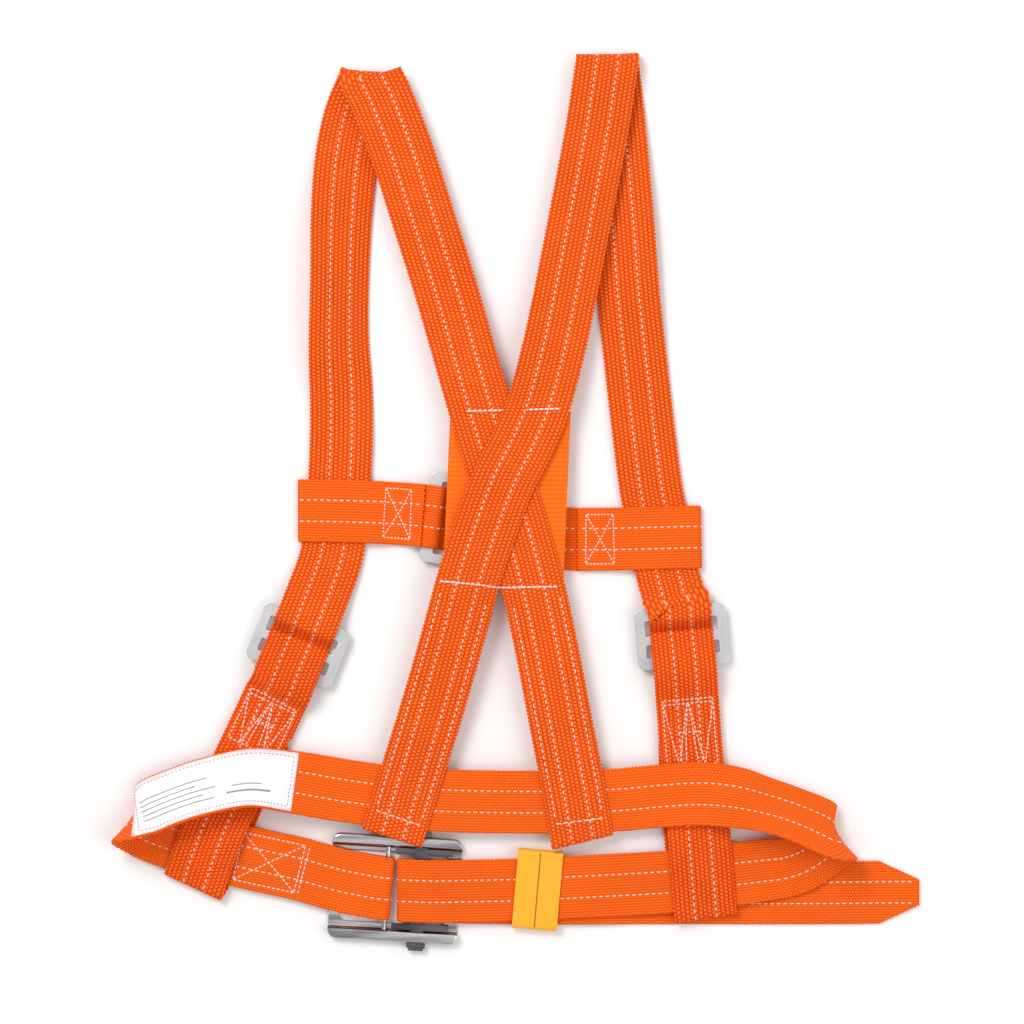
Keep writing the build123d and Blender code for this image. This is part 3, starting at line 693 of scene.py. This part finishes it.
# Materials
class Nodes:
    """Short helpers to build one material's node tree."""

    def __init__(self, name, color, roughness, metallic=0.0, sheen=0.0, specular=0.5):
        self.material = bpy.data.materials.new(name)
        self.material.use_nodes = True
        self.tree = self.material.node_tree
        self.shader = self.tree.nodes["Principled BSDF"]
        self.set("Base Color", (*color, 1))
        self.set("Roughness", roughness)
        self.set("Metallic", metallic)
        self.set("Sheen Weight", sheen)
        self.set("Sheen Roughness", 0.4)
        self.set("Specular IOR Level", specular)

    def set(self, socket, value):
        self.shader.inputs[socket].default_value = value

    def link(self, output, socket):
        self.tree.links.new(output, self.shader.inputs[socket])

    def math(self, operation, a, b=None):
        node = self.tree.nodes.new("ShaderNodeMath")
        node.operation = operation
        for socket, value in zip(node.inputs, (a, b)):
            if isinstance(value, (int, float)):
                socket.default_value = value
            elif value is not None:
                self.tree.links.new(value, socket)
        return node.outputs[0]

    def ramp(self, value, stops):
        node = self.tree.nodes.new("ShaderNodeValToRGB")
        elements = node.color_ramp.elements
        while len(elements) < len(stops):
            elements.new(1.0)
        for element, (position, color) in zip(elements, stops):
            element.position = position
            element.color = (*color, 1)
        self.tree.links.new(value, node.inputs[0])
        return node.outputs[0]

    def multiply(self, color, value, low, high):
        """The colour made darker or lighter by a 0 to 1 value."""
        node = self.tree.nodes.new("ShaderNodeVectorMath")
        node.operation = "SCALE"
        factor = self.math("ADD", self.math("MULTIPLY", value, high - low), low)
        self.tree.links.new(color, node.inputs[0])
        self.tree.links.new(factor, node.inputs["Scale"])
        return node.outputs[0]

    def noise(self, scale, detail=3.0, stretch=(1, 1, 1)):
        where = self.tree.nodes.new("ShaderNodeTexCoord")
        fit = self.tree.nodes.new("ShaderNodeMapping")
        fit.inputs["Scale"].default_value = stretch
        node = self.tree.nodes.new("ShaderNodeTexNoise")
        node.inputs["Scale"].default_value = scale
        node.inputs["Detail"].default_value = detail
        self.tree.links.new(where.outputs["Object"], fit.inputs["Vector"])
        self.tree.links.new(fit.outputs[0], node.inputs["Vector"])
        return node.outputs["Fac"]

    def weave_uv(self):
        """Along and across the webbing, in millimetres."""
        uv = self.tree.nodes.new("ShaderNodeUVMap")
        uv.uv_map = "Weave"
        split = self.tree.nodes.new("ShaderNodeSeparateXYZ")
        self.tree.links.new(uv.outputs[0], split.inputs[0])
        return [self.math("MULTIPLY", split.outputs[k], 100.0) for k in (0, 1)]

    def position(self):
        """Object coordinates in millimetres."""
        where = self.tree.nodes.new("ShaderNodeTexCoord")
        split = self.tree.nodes.new("ShaderNodeSeparateXYZ")
        self.tree.links.new(where.outputs["Object"], split.inputs[0])
        return [self.math("MULTIPLY", split.outputs[k], 1000.0) for k in range(3)]

    def bump(self, height, distance, strength=1.0):
        node = self.tree.nodes.new("ShaderNodeBump")
        node.inputs["Strength"].default_value = strength
        node.inputs["Distance"].default_value = distance * MM
        self.tree.links.new(height, node.inputs["Height"])
        self.link(node.outputs[0], "Normal")


def dome(nodes, value):
    """0 at each whole number of value and 1 half-way, with a round top."""
    part = nodes.math("SUBTRACT", nodes.math("FRACT", value), 0.5)
    square = nodes.math("MULTIPLY", nodes.math("MULTIPLY", part, part), 4.0)
    return nodes.math("SQRT", nodes.math("MAXIMUM", nodes.math("SUBTRACT", 1.0, square), 0.0))


def weave(name, painted_shade, base, light, pitch_u, pitch_v, depth):
    """Webbing: rows of yarn bumps, staggered from one row to the next, with painted shade in the gaps
    and a painted highlight on the bump tops.
    """
    nodes = Nodes(name, base, 0.62, sheen=0.02, specular=0.12)
    u, v = nodes.weave_uv()
    across = nodes.math("DIVIDE", nodes.math("ADD", v, 200.0), pitch_v)
    odd = nodes.math("MODULO", nodes.math("FLOOR", across), 2.0)
    along = nodes.math("DIVIDE", u, pitch_u)
    along = nodes.math("ADD", along, nodes.math("MULTIPLY", odd, 0.5))
    height = nodes.math("MULTIPLY", dome(nodes, along), dome(nodes, across))
    yarn = nodes.math("SINE", nodes.math("MULTIPLY", v, 14.0))
    fuzz = nodes.noise(900.0, 2.0)
    patch = nodes.noise(28.0, 4.0)
    fleck = nodes.math("MULTIPLY", nodes.math("SUBTRACT", fuzz, 0.5), 0.35)
    tone = nodes.math("ADD", height, fleck)
    # Painted shade and highlight: the colour runs from dark in the yarn gaps to light on the bump
    # tops
    color = nodes.ramp(tone, [(0.0, painted_shade), (0.32, base), (0.62, base), (0.98, light)])
    color = nodes.multiply(color, patch, 0.86, 1.16)
    nodes.link(color, "Base Color")
    relief = nodes.math("ADD", height, nodes.math("MULTIPLY", yarn, 0.05))
    relief = nodes.math("ADD", relief, nodes.math("MULTIPLY", fuzz, 0.12))
    nodes.bump(relief, depth)
    rough = nodes.math("ADD", nodes.math("MULTIPLY", fuzz, 0.25), 0.5)
    nodes.link(rough, "Roughness")
    return nodes.material


def metal(name, color, roughness, spread_rough, scale, clouding_and_reflection=0.0, stretch=(1, 1, 1)):
    """Plated steel with fine scratches and dulled patches, its colour darkened in cloudy patches:
    mild clouding on the zinc, painted reflection streaks on the chrome and slider.
    """
    nodes = Nodes(name, color, roughness, metallic=1.0)
    cloud = nodes.noise(scale, 5.0, stretch=stretch)
    grain = nodes.noise(scale * 14, 2.0)
    # Colour darkened in cloudy patches: a painted reflection where strong and stretched (chrome,
    # slider), mild clouding on the zinc
    tint = nodes.ramp(cloud, [(0.3, tuple(c * (1 - clouding_and_reflection) for c in color)), (0.62, color)])
    nodes.link(tint, "Base Color")
    rough = nodes.math("ADD", nodes.math("MULTIPLY", grain, spread_rough), roughness)
    nodes.link(rough, "Roughness")
    nodes.bump(nodes.math("ADD", grain, nodes.math("MULTIPLY", cloud, 2.0)), 0.05, 0.5)
    return nodes.material


def thread_material():
    nodes = Nodes("stitch_thread", (0.93, 0.8, 0.72), 0.55, sheen=0.3)
    x, y, _ = nodes.position()
    twist = nodes.math("SINE", nodes.math("MULTIPLY", nodes.math("ADD", x, y), 9.0))
    nodes.bump(twist, 0.08)
    color = nodes.ramp(nodes.noise(60.0), [(0.3, (0.9, 0.7, 0.6)), (0.6, (0.96, 0.9, 0.86))])
    nodes.link(color, "Base Color")
    return nodes.material


def pad_material():
    nodes = Nodes("pad_cloth", (0.93, 0.13, 0.004), 0.7, sheen=0.02, specular=0.12)
    x, y, _ = nodes.position()
    fine = dome(nodes, nodes.math("DIVIDE", nodes.math("ADD", x, 500.0), 0.9))
    ribs = dome(nodes, nodes.math("DIVIDE", nodes.math("ADD", y, 500.0), PAD_RIB_PITCH))
    tone = nodes.math("ADD", nodes.math("MULTIPLY", ribs, 0.7), nodes.math("MULTIPLY", fine, 0.3))
    # Painted shade in the rib valleys and painted highlight on the rib crests: the colour follows the
    # rib and fine-weave height
    painted_shade, base, light = (0.66, 0.06, 0.001), (0.9, 0.115, 0.003), (0.98, 0.19, 0.012)
    color = nodes.ramp(tone, [(0.1, painted_shade), (0.5, base), (1.0, light)])
    nodes.link(nodes.multiply(color, nodes.noise(30.0), 0.88, 1.14), "Base Color")
    nodes.bump(nodes.math("ADD", nodes.math("MULTIPLY", fine, 0.3), nodes.noise(700.0)), 0.12)
    return nodes.material


def label_material():
    nodes = Nodes("label_cloth", (0.9, 0.87, 0.88), 0.45)
    color = nodes.ramp(nodes.noise(40.0), [(0.3, (0.86, 0.8, 0.82)), (0.7, (0.94, 0.91, 0.92))])
    nodes.link(color, "Base Color")
    nodes.bump(nodes.noise(160.0, 4.0), 0.12)
    return nodes.material


def plain_material(name, color, roughness, change=0.2, scale=200.0, depth=0.04):
    nodes = Nodes(name, color, roughness)
    low = tuple(c * (1 - change) for c in color)
    nodes.link(nodes.ramp(nodes.noise(scale), [(0.35, low), (0.65, color)]), "Base Color")
    nodes.bump(nodes.noise(scale * 3), depth)
    return nodes.material


# Each webbing's colours: painted shade for the yarn gaps, its own colour, painted highlight for the
# yarn tops
shoulder_web = weave(
    "shoulder_webbing", (0.42, 0.016, 0.0004), (0.86, 0.074, 0.0015), (1.0, 0.21, 0.028),
    YARN_PITCH, 3.1, 0.6,
)
side_web = weave(
    "side_webbing", (0.42, 0.016, 0.0004), (0.84, 0.068, 0.0015), (1.0, 0.18, 0.02),
    YARN_PITCH, 3.1, 0.6,
)
belt_web = weave(
    "belt_webbing", (0.6, 0.036, 0.0006), (0.9, 0.098, 0.002), (1.0, 0.19, 0.014), 2.0, 1.9, 0.35
)
thread = thread_material()
pad_cloth = pad_material()
label_cloth = label_material()
label_ink = plain_material("label_marks", (0.36, 0.33, 0.36), 0.6)
label_thread = plain_material("label_stitching", (0.55, 0.12, 0.12), 0.6)
keeper_plastic = plain_material("keeper_plastic", (0.98, 0.45, 0.012), 0.5, 0.06, 60.0, 0.1)
zinc = metal("adjuster_steel", (0.72, 0.71, 0.73), 0.3, 0.2, 60.0, 0.12)
# Chrome and slider: strong darkening in stretched streaks, a painted reflection
chrome = metal("buckle_chrome", (0.8, 0.79, 0.81), 0.1, 0.12, 60.0, 0.85, (0.2, 2.4, 2.4))
dark_steel = metal("slider_steel", (0.2, 0.19, 0.2), 0.22, 0.2, 80.0, 0.6, (0.4, 1.6, 1.6))


# Webbing pieces
left_run = left_front + left_back + left_return
right_run = right_front + right_back + right_return
belt_run = belt_left + belt_back + belt_right + belt_tail
tail_end = list(belt_run[-1])
tail_end[0] += TAIL_TIP_LENGTH
belt_run = belt_run + [tuple(tail_end)]

left = Band(left_run)
right = Band(right_run)
left_loop = Band(left_side)
right_loop = Band(right_side)
chest_a = Band(chest_left)
chest_b = Band(chest_right)
belt = Band(belt_run)

finish_piece(
    webbing("left_shoulder_webbing", left), shoulder_web, "harness",
    "left_shoulder_front_strap", "left_shoulder_back_strap", "left_back_strap_return",
)
finish_piece(
    webbing("right_shoulder_webbing", right), shoulder_web, "harness",
    "right_shoulder_front_strap", "right_shoulder_back_strap", "right_back_strap_return",
)
finish_piece(webbing("left_side_webbing", left_loop), side_web, "harness", "left_side_strap")
finish_piece(webbing("right_side_webbing", right_loop), side_web, "harness", "right_side_strap")
finish_piece(
    webbing("chest_webbing_left", chest_a), belt_web, "chest_strap", "chest_strap_left"
)
finish_piece(
    webbing("chest_webbing_right", chest_b), belt_web, "chest_strap", "chest_strap_right"
)
finish_piece(
    webbing("waist_belt_webbing", belt, TAIL_TIP_LENGTH), belt_web, "harness",
    "waist_belt_left_front", "waist_belt_back", "waist_belt_right_front", "waist_belt_tail",
)

# Stitching
harness_thread = Thread()
chest_thread = Thread()
for band in (left, right, left_loop, right_loop):
    for v in (-ROW_OFFSET, ROW_OFFSET):
        harness_thread.row(band, 2.0, band.u[-1] - 2.0, v)
for v in (-ROW_OFFSET, ROW_OFFSET):
    harness_thread.row(belt, 6.0, belt.u[-1] - 3.0, v)
    chest_thread.row(chest_a, 3.0, chest_a.u[-1] - 3.0, v)
    chest_thread.row(chest_b, 3.0, chest_b.u[-1] - 3.0, v)

# Two more rows down each doubled strap end, and a cross row near its fold
for band, top, low in (
    (left, (15.0, -70.0, 16.8), (44.0, -229.0, 12.9)),
    (right, (-38.0, -68.0, 19.1), (-85.0, -226.0, 12.9)),
):
    start, stop = band.find(*top), band.find(*low)
    for v in (-DOUBLE_ROW_OFFSET, DOUBLE_ROW_OFFSET):
        harness_thread.row(band, start, stop - 8.0, v)
    harness_thread.path(band, [(stop - 6.0, -17.0), (stop - 5.0, 17.0)], dash=4.2, pitch=4.8)

# W pattern that joins each side strap below its adjuster
for band, low, length in (
    (left_loop, (-186.5, -172.0, 6.0), 38.0),
    (right_loop, (123.0, -184.4, 6.2), 47.0),
):
    u1 = band.find(*low)
    u0 = u1 - length
    inner = u0 + 3.2
    harness_thread.path(band, [(u0, -JOINT_HALF), (u0, JOINT_HALF)])
    harness_thread.path(band, [(inner, -JOINT_HALF), (inner, JOINT_HALF)])
    for side in (-1, 1):
        edge = side * JOINT_HALF
        harness_thread.path(band, [(u0, edge), (u1, edge)])
        harness_thread.path(
            band, [(inner, edge), (u1, side * 9.0), (inner, side * 0.6), (u1, side * 4.5)]
        )
    harness_thread.path(band, [(u1, -JOINT_HALF), (u1, JOINT_HALF)])
    harness_thread.path(band, [((u0 + u1) / 2, -8.5), ((u0 + u1) / 2, 8.5)])


def boxed_cross(thread_run, band, u0, u1, half, **spacing):
    """A stitched box across a band with both of its diagonals."""
    box = [(u0, -half), (u0, half), (u1, half), (u1, -half)]
    thread_run.path(band, box, closed=True, **spacing)
    thread_run.path(band, [box[0], box[2]], **spacing)
    thread_run.path(band, [box[1], box[3]], **spacing)


# Boxed cross and one more row at the belt's stitched end, and a boxed cross on each chest strap
u0, u1 = belt.find(-196.0, -250.0, 5.8), belt.find(-153.0, -258.0, 5.7)
boxed_cross(harness_thread, belt, u0, u1, 17)
beyond = u1 + math.copysign(3.0, u1 - u0)
harness_thread.path(belt, [(beyond, -17), (beyond, 17)])
for band, outer, length in (
    (chest_a, (-93.4, -7.8, 3.8), -20.5),
    (chest_b, (67.2, -26.4, 4.6), -20.0),
):
    u0 = band.find(*outer)
    boxed_cross(chest_thread, band, u0, u0 + length, 17.3, dash=2.0, pitch=2.6)

harness_thread.build("harness_stitching", thread, "harness")
chest_thread.build("chest_stitching", thread, "chest_strap")


# Back pad: ribbed cloth over foam
def pad_mesh():
    """A crowned pad with cross ribs and rounded edges."""
    columns, rows = 57, 241
    xs = np.linspace(-PAD_WIDTH / 2, PAD_WIDTH / 2, columns)
    ys = np.linspace(-PAD_LENGTH / 2, PAD_LENGTH / 2, rows)
    x, y = np.meshgrid(xs, ys)
    edge = np.minimum(PAD_WIDTH / 2 - np.abs(x), PAD_LENGTH / 2 - np.abs(y))
    round_edge = np.sqrt(np.clip(1 - (1 - np.clip(edge / 2.2, 0, 1)) ** 2, 0, 1))
    rib = 0.28 * np.sin(2 * math.pi * y / PAD_RIB_PITCH) * np.clip(edge / 2, 0, 1)
    middle = PAD_THICK / 2
    top = middle + (middle - 0.3) * round_edge + rib
    low = middle - (middle - 0.3) * round_edge - rib * 0.6
    px, py = turned(x, y, PAD_CENTRE, PAD_TURN)
    verts = [
        np.stack([px.ravel(), py.ravel(), (z + PAD_BASE).ravel()], axis=1) for z in (top, low)
    ]
    return new_object("back_pad_cloth", np.vstack(verts), slab_faces(columns, rows))


pad = finish_piece(pad_mesh(), pad_cloth, "harness", "back_pad")

# Label, sewn inside the belt's left end, with short lines in place of print
def strip(name, u0, u1, v0, v1, height, thick, material):
    """A thin patch that follows the belt between two places along and across it."""
    us = np.linspace(u0, u1, max(3, int(abs(u1 - u0) / 2) + 1))
    vs = np.linspace(v0, v1, 9)
    verts = [
        belt.place(us, np.full(len(us), v), np.full(len(us), w))
        for w in (height + thick / 2, height - thick / 2)
        for v in vs
    ]
    faces = slab_faces(len(us), len(vs))
    return finish_piece(new_object(name, np.vstack(verts), faces), material, "harness")


label_start = belt.find(*belt_back[1][:3])
label_stop = belt.find(*belt_back[6][:3])
label_length = label_stop - label_start
label_face = -(WEB_THICK + LABEL_THICK) / 2 - 0.05
label = strip(
    "label_patch", label_start, label_stop, -LABEL_WIDTH / 2, LABEL_WIDTH / 2,
    label_face, LABEL_THICK, label_cloth,
)
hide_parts("size_label")

# Each line of marks: its start and end as shares of the label's length, and its two edges across
mark_face = label_face - LABEL_THICK / 2 - 0.04
mark_lines = [
    (0.06, 0.5, -11, -10.2),
    (0.06, 0.44, -7, -6.2),
    (0.06, 0.52, -3, -2.2),
    (0.06, 0.4, 1, 1.8),
    (0.06, 0.48, 5, 5.8),
    (0.58, 0.86, -10, -8.6),
    (0.62, 0.8, -5, -4.2),
]
marks = [
    strip(
        f"label_mark_{k}", label_start + label_length * start, label_start + label_length * stop,
        low, high, mark_face, MARK_THICK, label_ink,
    )
    for k, (start, stop, low, high) in enumerate(mark_lines)
]
label_sewing = Thread()
near, far = label_start + 3, label_stop - 3
label_sewing.path(
    belt, [(near, -17.5), (near, 17.5), (far, 17.5), (far, -17.5)],
    dash=1.82, pitch=2.6, gap=0.1, closed=True, faces=(-1,),
    wide=0.3, high=0.2, rest=-label_face + LABEL_THICK / 2,
)
label_sewing.build("label_sewing", label_thread, "harness")


# Pad's two bars of white stitches, above and below the crossing
def surface_stitches(name, points, dash=3.2, pitch=3.6):
    """White stitches along a line in space, in CAD millimetres."""
    line = np.array(points) - np.array([ORIGIN[0], ORIGIN[1], 0])
    length = np.concatenate([[0], np.cumsum(np.linalg.norm(np.diff(line, axis=0), axis=1))])
    up = np.tile([0.0, 0.0, 1.0], (len(Thread.SHARES), 1))
    bar = Thread()
    for k in range(int(length[-1] / pitch)):
        s = k * pitch + dash * Thread.SHARES
        place = np.stack([np.interp(s, length, line[:, i]) for i in range(3)], axis=1)
        cross = unit(np.cross(unit(np.gradient(place, axis=0)), up))
        bar.add(place, cross * 0.7, up * 0.35)
    return bar.build(name, thread, "harness")


surface_stitches(
    "pad_stitches_top",
    [
        (-42.0, 62.6, 15.7), (-34.0, 63.0, 18.0), (-5.0, 63.6, 18.2),
        (9.0, 64.0, 20.0), (31.0, 64.6, 20.0),
    ],
)
surface_stitches(
    "pad_stitches_low",
    [
        (-54.0, -55.4, 20.2), (-30.0, -57.6, 20.3), (-15.0, -59.8, 20.2),
        (-8.0, -60.0, 17.9), (29.0, -59.2, 17.9),
    ],
)

# Steel and plastic parts keep their CAD shape, with soft edges and their finishes; the chrome and
# slider finishes carry painted reflection streaks
finishes = {
    "left_adjuster": (zinc, 0.7),
    "right_adjuster": (zinc, 0.7),
    "chest_adjuster": (zinc, 0.7),
    "buckle_fixed_bar": (chrome, 0.2),
    "buckle_slider": (dark_steel, 0.3),
    "belt_keeper": (keeper_plastic, 0.4),
}
for node, (material, radius) in finishes.items():
    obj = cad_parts[node]
    for place in obj.material_slots:
        place.material = material
    bevel = obj.modifiers.new("soft_edge", "BEVEL")
    bevel.width = radius * MM
    bevel.segments = 3
    bevel.limit_method = "ANGLE"
    bevel.angle_limit = math.radians(35)


def rounded_rectangle(length, width, radius, shift=0.0, steps=8):
    """Points round a rectangle with round corners."""
    points = []
    for k, (sx, sy) in enumerate(((1, 1), (-1, 1), (-1, -1), (1, -1))):
        for angle in np.radians(np.linspace(k * 90, k * 90 + 90, steps)):
            x = sx * (length / 2 - radius) + radius * math.cos(angle)
            y = sy * (width / 2 - radius) + radius * math.sin(angle)
            points.append((x + shift, y, 0.0))
    return points


def plate_mesh(outlines, thick, edge):
    """Vertices and faces of a flat plate with soft edges; later outlines are holes."""
    curve = bpy.data.curves.new("plate", "CURVE")
    curve.dimensions = "2D"
    curve.fill_mode = "BOTH"
    curve.extrude = thick / 2 - edge
    curve.bevel_depth = edge
    curve.bevel_resolution = 2
    curve.offset = -edge
    for outline in outlines:
        spline = curve.splines.new("POLY")
        spline.points.add(len(outline) - 1)
        for point, place in zip(spline.points, outline):
            point.co = (*place, 1)
        spline.use_cyclic_u = True
    source = bpy.data.objects.new("plate", curve)
    bpy.context.scene.collection.objects.link(source)
    ready = source.evaluated_get(bpy.context.evaluated_depsgraph_get())
    mesh = bpy.data.meshes.new_from_object(ready)
    verts = [tuple(v.co) for v in mesh.vertices]
    faces = [tuple(p.vertices) for p in mesh.polygons]
    bpy.data.objects.remove(source)
    return verts, faces


# Buckle frame: window plate and two pressed flanges with a rolled lip
def flange_section():
    """Closed outline (across, height) of one pressed flange."""
    path = np.array([
        (27.4, 0.9), (28.6, 1.1), (29.6, 1.7), (30.0, 2.8), (30.0, 4.6), (30.3, 5.5),
        (31.1, 6.1), (32.4, 6.25), (35.0, 6.2), (36.0, 5.9), (36.4, 5.2), (36.3, 4.6),
    ])
    ahead = unit(np.gradient(path, axis=0))
    out = np.stack([-ahead[:, 1], ahead[:, 0]], axis=1) * FLANGE_HALF_THICK
    return np.vstack([path + out, (path - out)[::-1]])


def buckle_frame_mesh():
    """The plate and both flanges, whose lips round off towards the buckle's two ends."""
    outline = rounded_rectangle(BUCKLE_LENGTH, BUCKLE_PLATE_WIDTH, 2.5)
    window = rounded_rectangle(77.0, 50.0, 7.0, -1.0)
    verts, faces = plate_mesh([outline, window], BUCKLE_PLATE_THICK, 0.5)
    verts = [(x, y, z + BUCKLE_PLATE_HEIGHT) for x, y, z in verts]
    section = flange_section()
    ends = [-45.5, -45.35, -44.8, -43.8, -42.4, -40.5]
    stops = ends + [-30.0, -15.0, 0.0, 15.0, 30.0] + [-x for x in reversed(ends)]
    for sign in (1, -1):
        first = len(verts)
        for x in stops:
            past = max(0.0, abs(x) - LIP_CORNER_START) / LIP_CORNER_LENGTH
            reach = math.sqrt(max(0.0, 1 - past**2))
            for y, z in section:
                share = reach if y > LIP_START else 1.0
                verts.append((x, sign * (FLANGE_OFFSET + (y - FLANGE_OFFSET) * share), z))
        faces += tube_faces(len(stops), len(section), first)
    place = np.array(verts)
    x, y = turned(place[:, 0], place[:, 1], BUCKLE_CENTRE, BUCKLE_TURN)
    return new_object("buckle_frame_pressed", np.stack([x, y, place[:, 2]], axis=1), faces)


finish_piece(buckle_frame_mesh(), chrome, "harness", "buckle_frame")

# Welded seam across the middle of the keeper
seam_verts, seam_faces = plate_mesh([rounded_rectangle(0.9, 52.0, 0.4)], 0.3, 0.12)
seam_place = [
    (*turned(x, y, KEEPER_CENTRE, KEEPER_TURN), KEEPER_TOP + z) for x, y, z in seam_verts
]
seam_material = plain_material("keeper_seam", (0.5, 0.13, 0.004), 0.6)
finish_piece(new_object("keeper_seam", seam_place, seam_faces), seam_material, "belt_keeper")

# Floor, light and camera
bpy.ops.mesh.primitive_plane_add(size=6.0, location=(0, 0, -0.0004))
floor = bpy.context.object
floor.name = "studio_floor"
floor.data.materials.append(
    plain_material("studio_floor", (0.93, 0.93, 0.93), 0.9, 0.01, 3.0, 0.01)
)
floor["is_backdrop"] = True


def area_light(name, place, size, power):
    data = bpy.data.lights.new(name, "AREA")
    data.size = size
    data.energy = power
    light = bpy.data.objects.new(name, data)
    light.location = place
    light.rotation_euler = (-light.location).to_track_quat("-Z", "Y").to_euler()
    bpy.context.scene.collection.objects.link(light)


area_light("key_light", (-0.9, 1.0, 1.8), 0.9, 26.0)
area_light("fill_light", (1.4, -0.5, 1.7), 1.6, 12.0)
world = bpy.data.worlds.new("studio")
world.use_nodes = True
background = world.node_tree.nodes["Background"]
background.inputs["Color"].default_value = (1.0, 1.0, 1.0, 1)
background.inputs["Strength"].default_value = 0.62
bpy.context.scene.world = world
bpy.context.scene.view_settings.view_transform = "Standard"

camera_data = bpy.data.cameras.new("camera")
camera_data.lens = 100
camera_data.sensor_width = 36
camera = bpy.data.objects.new("camera", camera_data)
camera.location = CAMERA_PLACE
bpy.context.scene.collection.objects.link(camera)
bpy.context.scene.camera = camera

low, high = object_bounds()
